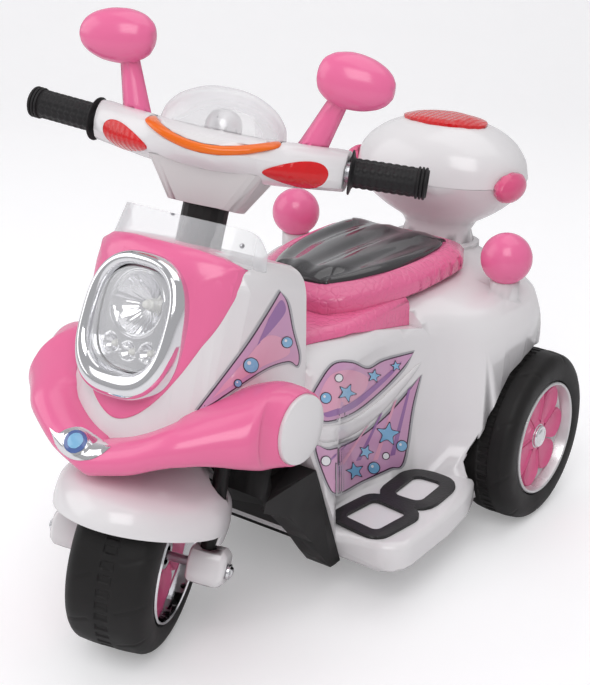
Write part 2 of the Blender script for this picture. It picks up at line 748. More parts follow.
def ball_light(name, side):
    """Round pink lamp on a short neck over a rear mudguard."""
    profile = [(DECK_Z + GAP, 0.0), (DECK_Z + GAP, 0.0150)]
    for degrees in (-60, -36, -12, 12, 36, 60, 78):
        turn = math.radians(degrees)
        profile.append((BALL_Z + BALL_R * math.sin(turn), BALL_R * math.cos(turn)))
    profile.append((BALL_Z + BALL_R, 0.0))
    return place(f"ball_light_{name}", revolve(profile, (side * BALL_X, BALL_Y, 0.0), "Z", 16), "pink")


def tail_lamp(name, side):
    """Slim red lamp on the back of a rear mudguard."""
    outline = rounded(0.030, 0.008, 0.0075, (side * 0.100, 0.264), 3)
    lamp = place(f"tail_lamp_{name}", prism(outline, 0.270, 0.345, "Y"), "red")
    skin = tool(f"tail_lamp_skin_{name}", body_hull(0.0035))
    boolean(lamp, skin, "INTERSECT")
    return cut(lamp, body_hull(GAP), parent=None)


# Cowl, in the raked frame

def cowl_back(z):
    """How far behind the steering axis the cowl's back edge lies at a raked height."""
    return (COWL_BACK_Y - GAP - HEAD.y - z * math.sin(RAKE)) / math.cos(RAKE) + 0.02


def cowl_form(grow, top=COWL_TOP, low=COWL_LOW, power_of=COWL_POWER):
    """Nose of the cowl: a superellipse ahead of the steering axis, straight sides behind it."""
    rings = []
    rows = [(low, 0.0), (0.0, 0.0), (top - 0.030, 0.0), (top - 0.014, 0.0025), (top - 0.005, 0.009),
            (top, 0.020)]
    for z, tuck in rows:
        half = COWL_HALF + grow - tuck
        front = COWL_FRONT + grow - tuck
        ring = []
        for step in range(13):
            turn = math.pi * step / 12
            ring.append((half * power(math.cos(turn), 2.0 / power_of),
                         -front * math.sin(turn) ** (2.0 / power_of), z + (grow if z > 0.05 else 0.0)))
        back = cowl_back(z) + 0.03
        ring += [(-half, back * 0.6, ring[-1][2]), (-half, back, ring[-1][2]),
                 (half, back, ring[-1][2]), (half, back * 0.6, ring[-1][2])]
        rings.append(ring)
    return loft(rings)


def cowl_rear_trim():
    """All that lies behind the cowl's back edge and the raked leg panel, in the world frame."""
    reach = 0.3
    slope = math.tan(FRONT_SLOPE)
    floor = COWL_FLOOR_Z + GAP
    top_y = FRONT_FOOT_Y - GAP - (floor - FRONT_FOOT_Z) * slope
    low_y = FRONT_FOOT_Y - GAP + FRONT_FOOT_Z * slope
    outline = [(low_y, 0.0), (top_y, floor), (COWL_BACK_Y - GAP, floor), (COWL_BACK_Y - GAP, 0.6),
               (reach, 0.6), (reach, 0.0)]
    return prism(outline, -reach, reach, "X")


def panel_outline(grow):
    """Front view of the pink nose panel: wide crowned top, drawn in to a round chin."""
    half = [(0.0, 0.1240), (0.034, 0.1235), (0.066, 0.1190), (0.086, 0.1120), (0.0865, 0.085),
            (0.080, 0.055), (0.069, 0.026), (0.055, -0.006), (0.036, -0.034), (0.018, -0.049),
            (0.0, -0.0545)]
    right = [(x + grow * min(1.0, x / 0.02), z + grow * (1 if z > 0.1 else -1 if z < -0.03 else 0))
             for x, z in half]
    return right + [(-x, z) for x, z in reversed(right[1:-1])]


def bezel_outline(half_x, half_z):
    """Front view of the headlamp."""
    return [(x, BEZEL_Z + z) for x, z in oval(half_x, half_z, 20, 2.7)]


def cowl_parts(frame):
    """White cowl shell and the pink nose panel let into it."""
    shell = place("cowl_shell", cowl_form(0.0), "white", frame)
    boolean(shell, tool("cowl_rear_trim", cowl_rear_trim()))
    cut(shell, cowl_form(-WALL, low=COWL_LOW - 0.02))
    cut(shell, prism(panel_outline(GAP), -0.2, -0.012, "Y"))
    cut(shell, rod(COLUMN_R + 0.0015, 0.05, 0.2, (0.0, 0.0), "Z", 28))
    panel = place("cowl_front_panel", cowl_form(0.0016), "pink", frame)
    keep(panel, prism(panel_outline(0.0), -0.2, -0.0125, "Y"))
    cut(panel, cowl_form(-WALL, low=COWL_LOW - 0.02))
    cut(panel, rod(COLUMN_R + 0.0015, 0.05, 0.2, (0.0, 0.0), "Z", 28))
    cut(panel, prism(bezel_outline(BEZEL_HALF_X - 0.004, BEZEL_HALF_Z - 0.004), -0.2, 0.0, "Y"))
    cut(panel, prism(bezel_outline(BEZEL_HALF_X + GAP, BEZEL_HALF_Z + GAP), -0.2, -0.0605, "Y"))
    return shell, panel


def headlamp_parts(frame):
    """Chrome bezel, its reflector with one large and three small bowls, and the clear lens."""
    rings = []
    rows = ((0.0, -0.0608, 0.0), (0.0, -0.0800, 0.8), (0.0020, -0.0860, 1.0), (0.0060, -0.0900, 1.0))
    for inset, y, share in rows:
        rings.append([(x, y - share * lean(z), z)
                      for x, z in bezel_outline(BEZEL_HALF_X - inset, BEZEL_HALF_Z - inset)])
    bezel = place("headlight_bezel", loft(rings), "chrome", frame)
    open_x, open_z = BEZEL_HALF_X - BEZEL_RING, BEZEL_HALF_Z - BEZEL_RING
    mouth = []
    for y, flare in ((-0.0830, 0.0), (-0.1000, 0.004)):
        mouth.append([(x, y - lean(z), z) for x, z in bezel_outline(open_x + flare, open_z + flare)])
    cut(bezel, loft(mouth))
    cut(bezel, prism(bezel_outline(open_x - 0.002, open_z - 0.002), -0.2, 0.0, "Y"))
    reflector = place("headlight_reflector",
                      prism(bezel_outline(BEZEL_HALF_X - BEZEL_RING - 0.0025,
                                          BEZEL_HALF_Z - BEZEL_RING - 0.0025), -0.074, -0.046, "Y"),
                      "chrome", frame)
    cut(reflector, bowl(0.0, BEZEL_Z + 0.018, 0.030), bowl(-0.024, BEZEL_Z - 0.030, 0.009),
        bowl(0.0, BEZEL_Z - 0.034, 0.009), bowl(0.024, BEZEL_Z - 0.030, 0.009))
    lens_rings = []
    rows = ((0.0, -0.0748, 0.0), (0.0, -0.0830, 1.0), (0.008, -0.0880, 1.0), (0.022, -0.0920, 1.0))
    for inset, y, share in rows:
        lens_rings.append([(x, y - share * lean(z), z) for x, z in
                           bezel_outline(BEZEL_HALF_X - BEZEL_RING - 0.0025 - inset,
                                         BEZEL_HALF_Z - BEZEL_RING - 0.0025 - inset)])
    lens = place("headlight_lens", loft(lens_rings), "clear", frame)
    cut(lens, prism(bezel_outline(BEZEL_HALF_X - BEZEL_RING - 0.006, BEZEL_HALF_Z - BEZEL_RING - 0.006),
                    -0.0770, -0.05, "Y"))
    return bezel, reflector, lens


def lean(z):
    """How much further forward the headlamp's face stands lower down."""
    return (BEZEL_Z - z) * 0.10


def bowl(x, z, radius):
    """A lamp bowl sunk into the reflector."""
    profile = [(-0.0760, 0.0), (-0.0760, radius)]
    for degrees in (60, 30):
        turn = math.radians(degrees)
        profile.append((-0.0740 + radius * 0.75 * math.cos(turn), radius * math.sin(turn)))
    profile.append((-0.0740 + radius * 0.75, 0.0))
    return revolve(profile, (x, 0.0, z), "Y", 10)




def wind_deflector(frame):
    """Clear upright screen on the cowl's top edge, bent round the nose."""
    steps = 12
    grids = []
    for thick in (0.0, 0.0022):
        rows = []
        for share in (0.0, 1.0):
            row = []
            for step in range(steps + 1):
                turn = math.radians(182 + 176 * step / steps)
                end = abs(step / steps * 2 - 1) ** 8
                half = DEFLECTOR_HALF - 0.006 * share - thick
                fore = DEFLECTOR_FRONT - 0.010 * share - thick
                row.append((half * power(math.cos(turn), 0.80), fore * power(math.sin(turn), 0.80),
                            DEFLECTOR_FOOT + DEFLECTOR_H * share * (1.0 - 0.25 * end)))
            rows.append(row)
        grids.append(rows)
    rings = []
    for step in range(steps + 1):
        (low_out, high_out), (low_in, high_in) = ((rows[0][step], rows[1][step]) for rows in grids)
        rings.append([low_out, high_out, high_in, low_in])
    screen = place("wind_deflector", loft(rings), "clear", frame)
    return cut(screen, cowl_form(0.0016 + GAP))


# Bumper

# x, y, z of the centre line, half depth, half height
BUMPER_STATIONS = [
    (0.000, BUMPER_FRONT_Y, BUMPER_FRONT_Z, 0.0265, 0.0160),
    (0.040, -0.3260, 0.2510, 0.0270, 0.0170),
    (0.080, -0.3060, 0.2670, 0.0290, 0.0200),
    (0.105, -0.2570, 0.2690, 0.0480, 0.0330),
    (0.125, -0.2300, 0.2700, 0.0520, 0.0400),
    (0.140, -0.2190, 0.2690, 0.0440, 0.0395),
    (CAP_X, CAP_Y, CAP_Z, CAP_R, CAP_R),
]


def bumper_form(grow, reach=0.0):
    """Sweep of an oval from cap to cap round the nose, `reach` longer at each end."""
    rings = []
    for share in spread(-1.0, 1.0, 15):
        x = CAP_X * math.copysign(abs(share) ** 0.85, share)
        y, z, depth, height = between(BUMPER_STATIONS, abs(x))
        ahead = between(BUMPER_STATIONS, min(abs(x) + 0.004, CAP_X))[0]
        behind = between(BUMPER_STATIONS, max(abs(x) - 0.004, 0.0))[0]
        turn = math.atan2(ahead - behind, 0.008) * (1.0 - (abs(x) / CAP_X) ** 4)
        turn = math.copysign(turn, x) if x else 0.0
        out = math.copysign(reach, x) if abs(share) == 1.0 else 0.0
        ring = []
        for across, up in oval(depth + grow, height + grow, 12, 2.2):
            ring.append((x + out - across * math.sin(turn), y + across * math.cos(turn), z + up))
        rings.append(ring)
    return loft(rings)


def bumper(frame):
    """Pink bumper shell wrapped round the cowl, swelling into round ends."""
    shell = place("bumper", bumper_form(0.0), "pink")
    cut(shell, bumper_form(-WALL, 0.01))
    for side in (1, -1):
        ends = sorted((side * (CAP_X - 0.0045), side * 0.2))
        cut(shell, rod(PLUG_R + GAP, *ends, (CAP_Y, CAP_Z), "X", 20))
    return cut(shell, cowl_form(GAP, low=-0.3), parent=frame)


def bumper_cap(name, side):
    """White round cap that closes one end of the bumper."""
    profile = [(-0.004, 0.0), (-0.004, PLUG_R), (GAP, PLUG_R), (GAP, CAP_R - 0.001),
               (0.004, CAP_R - 0.002), (0.008, CAP_R * 0.62), (0.0095, 0.0)]
    turned = [(side * (CAP_X + along), radius) for along, radius in profile]
    return place(f"bumper_cap_{name}", revolve(turned, (0.0, CAP_Y, CAP_Z), "X", 20), "white")


# Chassis and drive



def chassis_base(frame):
    """Black chassis: floor pan, front upright with the head tube, axle blocks and battery tray."""
    base = place("chassis_base", pan_form(0.0), "black")
    slope = math.tan(FRONT_SLOPE)
    foot = FRONT_FOOT_Y - 0.0008
    shin_top = COWL_FLOOR_Z + 0.030
    plate_top = 0.1780
    sole = foot + slope * (FRONT_FOOT_Z - PAN_BASE_Z)
    arch = [(-0.2340, 0.1730), (-0.1780, 0.1400), (-0.1380, 0.0940), (-0.1170, 0.0650),
            (-0.1010, PAN_BASE_Z)]
    plate = [(sole, PAN_BASE_Z), (foot - slope * (plate_top - FRONT_FOOT_Z), plate_top),
             (-0.2380, plate_top)]
    for side in (1, -1):
        join(base, prism(plate + arch, *sorted((side * PLATE_IN, side * LEG_PLATE_HALF)), "X"))
    knee = foot - slope * (COWL_FLOOR_Z - FRONT_FOOT_Z)
    shin = foot - slope * (0.0750 - FRONT_FOOT_Z)
    upright = [(shin, 0.0750), (knee, COWL_FLOOR_Z), (knee, shin_top), (-0.2450, shin_top),
               (-0.2450, 0.1790), (-0.1700, 0.1450), (-0.1240, 0.1150), (shin - 0.0100, 0.0750)]
    join(base, prism(upright, -UPRIGHT_HALF, UPRIGHT_HALF, "X"))
    web = [(-0.235, 0.240), (-0.235, 0.300), (-0.215, 0.360), (-0.180, 0.372), (-0.160, 0.330),
           (-0.150, 0.240)]
    join(base, prism(web, -0.012, 0.012, "X"))
    join(base, rod(HEAD_TUBE_R, HEAD_TUBE_LOW, HEAD_TUBE_TOP, (0.0, 0.0), "Z", 28), parent=frame)
    cut(base, block((-0.070, -0.1350, 0.1650), (0.070, -0.05, 0.225)),
        block((-0.070, -0.2400, 0.215), (-0.016, -0.160, 0.30)),
        block((0.016, -0.2400, 0.215), (0.070, -0.160, 0.30)))
    cut(base, rod(SWEEP_R, -0.40, SWEEP_TOP, (0.0, 0.0), "Z", 40),
        rod(HEAD_TUBE_R, -0.40, HEAD_TUBE_LOW, (0.0, 0.0), "Z", 20),
        rod(STEERER_R + BUSH_WALL + GAP, -0.2, 0.2, (0.0, 0.0), "Z", 24), parent=frame)
    for side in (1, -1):
        low, high = sorted((side * BEARING_X[0], side * BEARING_X[1]))
        join(base, block((low, REAR_AXLE_Y - 0.018, PAN_TOP_Z - 0.002), (high, REAR_AXLE_Y + 0.018, 0.125)))
    cut(base, wheel_drum(AXLE_R + 0.0001, -0.2, 0.2))
    wall, half_x, half_y = 0.003, BATTERY_HALF[0] + 0.0005, BATTERY_HALF[1] + 0.0005
    tray = block((-half_x - wall, BATTERY_Y - half_y - wall, PAN_TOP_Z - 0.002),
                 (half_x + wall, BATTERY_Y + half_y + wall, PAN_TOP_Z + 0.018))
    join(base, tray)
    cut(base, block((-half_x, BATTERY_Y - half_y, PAN_TOP_Z), (half_x, BATTERY_Y + half_y, 0.2)))
    return base


def battery():
    """Sealed battery in its tray."""
    low = (-BATTERY_HALF[0], BATTERY_Y - BATTERY_HALF[1], PAN_TOP_Z + GAP)
    high = (BATTERY_HALF[0], BATTERY_Y + BATTERY_HALF[1], PAN_TOP_Z + GAP + BATTERY_H)
    cell = place("battery", block(low, high), "blue")
    for x in (-0.022, 0.022):
        join(cell, block((x - 0.003, high[1] - 0.014, high[2] - 0.001),
                         (x + 0.003, high[1] - 0.008, high[2] + 0.006)))
    return cell


def gearbox_housing():
    """Closed reduction gearbox beside the right rear wheel, with its output boss."""
    outline = []
    for centre, radius, start, end in (((REAR_AXLE_Y, WHEEL_R), 0.034, -120, 60),
                                       ((MOTOR_Y, MOTOR_Z), 0.024, 60, 240)):
        for step in range(9):
            turn = math.radians(start + (end - start) * step / 8 - 9)
            outline.append((centre[0] + radius * math.cos(turn), centre[1] + radius * math.sin(turn)))
    box = place("gearbox_housing", prism(outline, *GEARBOX_X, "X"), "nylon")
    join(box, wheel_drum(GEAR_BOSS_R, -REAR_TYRE_IN + 0.0006, GEARBOX_X[0] + 0.002))
    cut(box, wheel_drum(AXLE_R + 0.0004, -0.2, -0.05))
    return box


def drive_motor():
    """Can motor on the gearbox's inner face."""
    start = GEARBOX_X[1] + GAP
    profile = [(start, 0.0), (start, MOTOR_R), (start + 0.040, MOTOR_R), (start + 0.042, MOTOR_R - 0.003),
               (start + 0.042, 0.007), (start + 0.046, 0.006), (start + 0.046, 0.0)]
    return place("drive_motor", revolve(profile, (0.0, MOTOR_Y, MOTOR_Z), "X", 16), "steel")


def rear_axle():
    """Steel rod that carries both rear wheels, with a head at each end."""
    end = REAR_TYRE_OUT - 0.0100
    head = end - 0.006
    profile = [(-end, 0.0), (-end, AXLE_R + 0.003), (-head, AXLE_R + 0.003), (-head, AXLE_R),
               (head, AXLE_R), (head, AXLE_R + 0.003), (end, AXLE_R + 0.003), (end, 0.0)]
    return place("rear_axle", revolve(profile, (0.0, REAR_AXLE_Y, WHEEL_R), "X", 14), "steel")


def charge_bore(radius):
    """Axis of the charging socket, through the right-hand side panel."""
    return rod(radius, -0.13, -0.08, (0.020, 0.200), "X", 20)


def charge_socket():
    """Round charging socket in the right-hand side panel."""
    face = -0.1110
    profile = [(face + 0.0060, 0.0), (face + 0.0060, 0.0045), (face, 0.0045), (face, 0.0120),
               (face + 0.0025, 0.0120), (face + 0.0025, 0.0082), (face + 0.0190, 0.0082),
               (face + 0.0190, 0.0)]
    return place("charge_socket", revolve(profile, (0.0, 0.020, 0.200), "X", 12), "black")


def rocker(name, x):
    """Rocker switch ahead of the saddle, tipping about its middle."""
    outline = [(-SWITCH_HALF_Y, -0.0040), (SWITCH_HALF_Y, -0.0040), (SWITCH_HALF_Y, 0.0012), (0.0, 0.0004),
               (-SWITCH_HALF_Y, 0.0034)]
    shape = prism([(SWITCH_Y + y, SADDLE_TOP_Z + z) for y, z in outline],
                  x - SWITCH_HALF_X, x + SWITCH_HALF_X, "X")
    return place(name, shape, "black", None, (x, SWITCH_Y, SADDLE_TOP_Z))


# Foot pads

def pad_form(side, low, high):
    """Figure-of-eight pad, two rounded frames that share a bar."""
    outers, holes = [], []
    for (cx, cy), (half_x, half_y), band, corner, turn in PAD_FRAMES:
        for inset, shapes in ((0.0, outers), (band, holes)):
            points = []
            for x, y in rounded(half_x - inset, half_y - inset, max(corner - inset, 0.008), (0.0, 0.0), 4):
                points.append((side * (cx + x * math.cos(turn) - y * math.sin(turn)),
                               cy + x * math.sin(turn) + y * math.cos(turn)))
            extra = 0.01 if inset else 0.0
            shapes.append(prism(points, low - extra, high + extra))
    return outers, holes


def foot_pad():
    """Black rubber pad on the left foot step."""
    outers, holes = pad_form(1, STEP_TOP_Z + GAP, STEP_TOP_Z + PAD_THICK)
    pad = place("foot_pad_left", outers[0], "rubber")
    join(pad, outers[1])
    return cut(pad, *holes)


def accelerator_pedal():
    """Foot pedal on the right step: the same figure of eight, hinged at its heel by two lugs."""
    top = PEDAL_BASE_Z + PAD_THICK
    outers, holes = pad_form(-1, PEDAL_BASE_Z, top)
    pedal = place("accelerator_pedal", outers[0], "rubber", None, (0.0, PEDAL_Y, PEDAL_Z))
    join(pedal, outers[1])
    cut(pedal, *holes)
    for x in (-0.160, -0.142):
        start, end = x - 0.003, x + 0.003
        join(pedal, block((start, PEDAL_Y - 0.0150, PEDAL_BASE_Z + 0.0015), (end, PEDAL_Y, top - 0.0005)),
             rod(0.0040, start, end, (PEDAL_Y, PEDAL_Z), "X", 12),
             block((start, PEDAL_Y - 0.0036, PEDAL_Z), (end, PEDAL_Y + 0.0036, top - 0.0010)))
    return pedal


# Wheels

def tyre(name, half, centre, parent):
    """Fat hollow-looking tyre with a raised centre band."""
    inner = RIM_R + 0.0006
    side = [(half * 0.86, inner), (half, inner + 0.007), (half * 0.98, WHEEL_R - 0.014),
            (half * 0.72, WHEEL_R - 0.0015), (half * 0.18, WHEEL_R)]
    profile = side + [(-x, r) for x, r in reversed(side)]
    return place(name, revolve([(x + centre[0], r) for x, r in profile],
                           (0.0, centre[1], centre[2]), "X", 24), "rubber", parent, centre)


def rim(name, half, centre, parent, spokes, bore, hub_half):
    """Wheel centre: barrel, web and hub turned in one, with flared petal spokes on both faces."""
    lip = half * 0.86
    right = [(hub_half, bore), (hub_half, 0.0135), (0.0040, 0.0180), (0.0030, RIM_R - 0.0085),
             (lip - 0.0115, RIM_R - 0.0070), (lip + 0.0010, RIM_R - 0.0040), (lip, RIM_R)]
    profile = right + [(-x, r) for x, r in reversed(right)]
    wheel = place(name, revolve([(x + centre[0], r) for x, r in profile],
                                (0.0, centre[1], centre[2]), "X", 18), "pink", parent, centre)
    for number in range(spokes):
        turn = math.tau * number / spokes
        petal = [(0.0150, 0.0060), (0.0340, 0.0078), (0.0500, 0.0125), (RIM_R - 0.0050, 0.0175)]
        outline = petal + [(r, -w) for r, w in reversed(petal)]
        points = [(centre[1] + r * math.cos(turn) - w * math.sin(turn),
                   centre[2] + r * math.sin(turn) + w * math.cos(turn)) for r, w in outline]
        join(wheel, prism(points, centre[0] - lip + 0.0135, centre[0] + lip - 0.0135, "X"))
    return wheel


def rear_wheel(name, side):
    """Tyre and rim of one rear wheel."""
    middle = (REAR_TYRE_IN + REAR_TYRE_OUT) / 2
    half = (REAR_TYRE_OUT - REAR_TYRE_IN) / 2
    centre = Vector((side * middle, REAR_AXLE_Y, WHEEL_R))
    tyre(f"rear_tyre_{name}", half, centre, None)
    wheel = rim(f"rear_rim_{name}", half, centre, None, REAR_SPOKES, AXLE_R + RUNNING, half - 0.0004)
    recess = sorted((side * (REAR_TYRE_OUT - 0.0170), side * (REAR_TYRE_OUT + 0.01)))
    cut(wheel, rod(AXLE_R + 0.0036, *recess, (REAR_AXLE_Y, WHEEL_R), "X", 20))
    return wheel


# Steering set, in the raked frame

def raked_rod(radius, low, high, centre=(0.0, 0.0), count=24):
    """A cylinder along the steering axis."""
    return rod(radius, low, high, centre, "Z", count)


def fork(steer):
    """Steel fork: steerer, crown and two legs that reach back to the front axle."""
    piece = place("fork", raked_rod(STEERER_R, CROWN_BASE + 0.002, NECK_TOP + 0.010), "black", steer)
    crown = prism(rounded(LEG_X + 0.0110, 0.0130, 0.0125, (0.0, 0.0), 3), CROWN_BASE, CROWN_TOP)
    join(piece, crown)
    for side in (1, -1):
        rings = []
        for share in (0.0, 0.35, 1.0):
            z = (CROWN_TOP - 0.001) * (1 - share) + (AXLE_DROP - 0.012) * share
            offset = AXLE_OFFSET * share**0.7
            rings.append([(side * LEG_X + x, offset + y, z) for x, y in oval(LEG_R, LEG_R, 10)])
        join(piece, loft(rings))
    cut(piece, rod(AXLE_R + 0.0001, -0.2, 0.2, (AXLE_OFFSET, AXLE_DROP), "X", 16))
    return piece


def fender_form(grow):
    """Bowl of the front mudguard, low over the nose so that it turns under the bumper."""
    rows = [(FENDER_RIM - 0.010, 0.98, 0.98), (FENDER_RIM + 0.006, 1.0, 1.0), (-0.1400, 0.98, 0.99),
            (-0.1290, 0.91, 0.97), (-0.1205, 0.78, 0.92), (-0.1130, 0.58, 0.84), (-0.1040, 0.40, 0.72),
            (FENDER_TOP, 0.22, 0.52)]
    rings = []
    for z, nose, side in rows:
        height = z + (grow if z > FENDER_RIM else 2 * grow if grow < 0 else 0.0)
        half, ahead, behind = FENDER_HALF * side, FENDER_NOSE * nose, FENDER_BACK * side
        plan = oval(half + grow, ahead + grow, 20, 1.9, behind + grow)
        rings.append([(x, y, height) for x, y in plan])
    return loft(rings)


def front_fender(steer):
    """White bowl-shaped mudguard that turns with the front wheel, lower at its back corners."""
    bowl_piece = place("front_fender", fender_form(0.0), "white", steer)
    cut(bowl_piece, fender_form(-0.0026))
    cut(bowl_piece, block((-0.2, -0.2, -0.3), (0.2, -0.010, FENDER_RIM)))
    cut(bowl_piece, block((-0.2, FENDER_END, -0.3), (0.2, 0.3, 0.0)))
    for side in (1, -1):
        slot = [(side * LEG_X + x, y + AXLE_OFFSET * 0.2) for x, y in oval(LEG_R + 0.004, LEG_R + 0.007, 10)]
        cut(bowl_piece, prism(slot, -0.17, -0.08))
    return bowl_piece


def column_cover(steer):
    """Black sleeve round the steerer between cowl and handlebar."""
    sleeve = place("column_cover", raked_rod(COLUMN_R, HEAD_TUBE_TOP + 0.004, NECK_LOW - GAP, count=18),
                   "black", steer)
    return cut(sleeve, raked_rod(STEERER_R + GAP, 0.0, 0.3))


# x, middle y, middle z, half depth, half height of the handlebar housing
HEADSET_STATIONS = [
    (0.000, -0.0080, 0.2160, 0.0520, 0.0225),
    (0.040, -0.0065, 0.2165, 0.0480, 0.0225),
    (0.070, -0.0030, 0.2190, 0.0390, 0.0222),
    (0.100, 0.0030, 0.2220, 0.0285, 0.0215),
    (0.122, 0.0090, 0.2245, 0.0225, 0.0210),
    (HEADSET_HALF, BAR_Y, BAR_Z, 0.0205, 0.0205),
]


def headset_form(grow, reach=HEADSET_HALF):
    """Wing-shaped housing from grip to grip."""
    rings = []
    for x in spread(-reach, reach, 11):
        y, z, depth, height = between(HEADSET_STATIONS, abs(x))
        rings.append([(x, y + a, z + b) for a, b in oval(depth + grow, height + grow, 12, 2.3)])
    return loft(rings)


def neck_form(grow, low, high):
    """Tapered cover under the handlebar."""
    rings = []
    for z, share in ((low, 0.0), (high, 1.0)):
        half = NECK_HALF_LOW + (NECK_HALF_TOP - NECK_HALF_LOW) * share + grow
        depth = 0.028 + 0.008 * share + grow
        rings.append([(x, y - 0.006 * share, z) for x, y in rounded(half, depth, 0.012, (0.0, 0.0), 3)])
    return loft(rings)


def lens_cutters(side, grow):
    """Teardrop prism of a turn lens, seen from the front."""
    tip, blunt = 0.060 - grow, 0.117 + grow
    points = []
    for step in range(10):
        turn = math.tau * (step + 0.5) / 10
        share = (1 - math.cos(turn)) / 2
        x = tip + (blunt - tip) * share
        half = (0.0165 + grow) * math.sin(turn) * (0.35 + 0.65 * share)
        points.append((side * x, 0.2060 + 0.0110 * share + half))
    return prism(points, -0.2, 0.0, "Y")




def strip_cutter(grow):
    """Smile-shaped band of the light strip, seen from the front."""
    upper, lower = [], []
    for share in spread(-1.0, 1.0, 9):
        z = STRIP_Z + STRIP_RISE * share * share
        upper.append(((STRIP_HALF + grow) * share, z + STRIP_THICK / 2 + grow))
        lower.append(((STRIP_HALF + grow) * share, z - STRIP_THICK / 2 - grow))
    return prism(lower + list(reversed(upper)), -0.2, -0.002, "Y")


def headset_parts(steer):
    """Handlebar housing, its lower cover, turn lenses, light strip, dome and lamp."""
    shell = place("headset_upper", headset_form(0.0), "white", steer)
    cut(shell, headset_form(-0.0028, HEADSET_HALF - 0.006))
    cut(shell, neck_form(-0.006, 0.15, 0.21))
    for side in (1, -1):
        cut(shell, lens_cutters(side, GAP))
    cut(shell, strip_cutter(GAP))
    cut(shell, rod(BAR_R + GAP, -0.3, 0.3, (BAR_Y, BAR_Z), "X", 20))
    for x in (BUTTON_X, -BUTTON_X):
        cut(shell, rod(BUTTON_R + 0.0005, BUTTON_Y - 0.02, BUTTON_Y + 0.02, (x, BUTTON_Z), "Y", 16))
    cover = place("headset_lower", neck_form(0.0, NECK_LOW, NECK_TOP + 0.012), "grey white", steer)
    cut(cover, neck_form(-0.003, NECK_LOW + 0.003, NECK_TOP + 0.013))
    cut(cover, headset_form(GAP))
    cut(cover, raked_rod(STEERER_R + GAP, 0.0, 0.3))
    for name, side in (("left", 1), ("right", -1)):
        lens = place(f"turn_lens_{name}", headset_form(0.0018), "red", steer)
        keep(lens, lens_cutters(side, 0.0))
        cut(lens, headset_form(-0.0028, HEADSET_HALF - 0.006))
    strip = place("strip_lens", headset_form(0.0022), "orange", steer)
    keep(strip, strip_cutter(0.0))
    cut(strip, headset_form(-0.0028, HEADSET_HALF - 0.006))
    return shell, cover




def dome_form(grow, drop=0.0):
    """Low dome behind the light strip; `drop` lowers the form, for its hollow."""
    rings = []
    for degrees in (0, 20, 40, 60, 78):
        turn = math.radians(degrees)
        plan = oval((DOME_X + grow) * math.cos(turn), (0.030 + grow) * math.cos(turn), 16, 2.0,
                    (0.034 + grow) * math.cos(turn))
        height = DOME_BASE - drop + (DOME_RISE + grow) * math.sin(turn)
        rings.append([(x, DOME_Y + y, height) for x, y in plan])
    return loft(rings)


def dome_parts(steer):
    """Clear dome on the housing with a white lamp under it."""
    dome = place("instrument_dome", dome_form(0.0), "clear", steer)
    cut(dome, dome_form(-0.002, 0.004), headset_form(GAP))
    lamp = place("dome_lamp", revolve([(0.2300, 0.0), (0.2300, 0.0190), (0.2470, 0.0185), (0.2560, 0.0140),
                                       (0.2600, 0.0070), (0.2610, 0.0)], (0.0, DOME_Y, 0.0), "Z", 24),
                 "white", steer)
    cut(lamp, headset_form(GAP))
    return dome, lamp


def grip_tilt(side):
    """Frame of one grip: its own x runs outward, swept back and up from the housing's end."""
    out = Vector((side * math.cos(BAR_SWEEP), math.sin(BAR_SWEEP), math.sin(BAR_LIFT))).normalized()
    back = Vector((0.0, 0.0, 1.0)).cross(out).normalized()
    turn = Matrix((out, back, out.cross(back))).transposed()
    return Matrix.Translation((side * GRIP_IN_X, BAR_Y, BAR_Z)) @ turn.to_4x4()


def handlebar_tube(steer):
    """Bent steel tube inside the housing and grips, clamped to the steerer by a block."""
    reach = GRIP_OUT_X - GRIP_IN_X - 0.006
    circle = oval(BAR_R, BAR_R, 12)
    rings = []
    for side, along in ((-1, reach), (-1, 0.0), (1, 0.0), (1, reach)):
        frame = grip_tilt(side)
        if along:
            rings.append([frame @ Vector((along, side * a, b)) for a, b in circle])
        else:
            rings.append([Vector((side * GRIP_IN_X, BAR_Y + a, BAR_Z + b)) for a, b in circle])
    tube = place("handlebar_tube", loft(rings), "steel", steer)
    join(tube, block((-0.016, -0.0135, NECK_TOP + 0.0103), (0.016, BAR_Y + 0.012, BAR_Z)))
    return tube


def grip(name, side, steer):
    """Rubber grip with a thin inner flange and a ribbed, closed end."""
    end = GRIP_OUT_X - GRIP_IN_X
    bore = BAR_R + 0.0005
    profile = [(0.0, bore), (0.0, GRIP_FLANGE_R), (0.0022, GRIP_FLANGE_R), (0.0040, GRIP_R)]
    for x in (end - 0.0150, end - 0.0080):
        profile += [(x - 0.0015, GRIP_R), (x, GRIP_R + 0.0014), (x + 0.0015, GRIP_R)]
    profile += [(end, GRIP_R - 0.0005), (end + 0.0020, GRIP_R - 0.0040), (end + 0.0020, 0.0),
                (end - 0.0050, 0.0), (end - 0.0050, bore)]
    shape = revolve(profile, (0.0, 0.0, 0.0), "X", 12)
    shape.transform(grip_tilt(side))
    return place(f"grip_{name}", shape, "rubber", steer)


